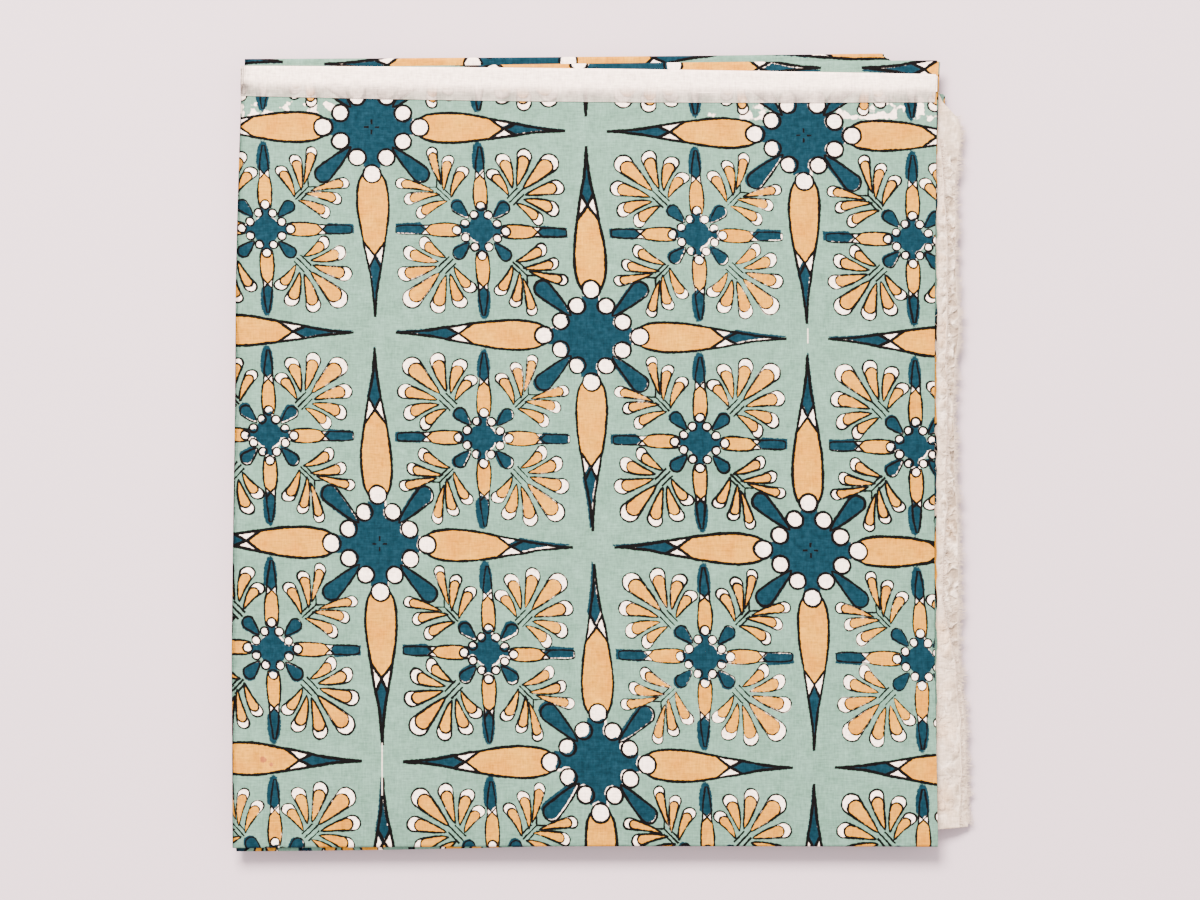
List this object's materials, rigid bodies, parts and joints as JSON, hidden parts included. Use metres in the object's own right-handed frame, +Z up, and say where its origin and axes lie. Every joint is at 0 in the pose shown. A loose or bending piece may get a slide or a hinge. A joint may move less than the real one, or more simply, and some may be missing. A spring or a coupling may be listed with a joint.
{
  "type": "folded block print fabric",
  "caption": "Length of light cotton cloth, block printed all over, folded back and forth into a flat stack with a fringed selvedge margin sticking out at one side.",
  "frame": {"origin": "middle of the underside of the whole folded stack's box", "axes": "+Z up out of the top panel, +Y away from the near folds towards the turned-over end, +X to the right towards the selvedge margin"},
  "size_m": [0.2988, 0.3208, 0.014],
  "materials": {
    "printed_cotton": "plain woven cotton, block printed in teal and peach on pale mint, matt",
    "cotton_thread": "loose undyed cotton threads, matt"
  },
  "bodies": {
    "root": {"folded_cloth": "printed_cotton", "selvedge_fringe": "cotton_thread"}
  },
  "joints": []
}
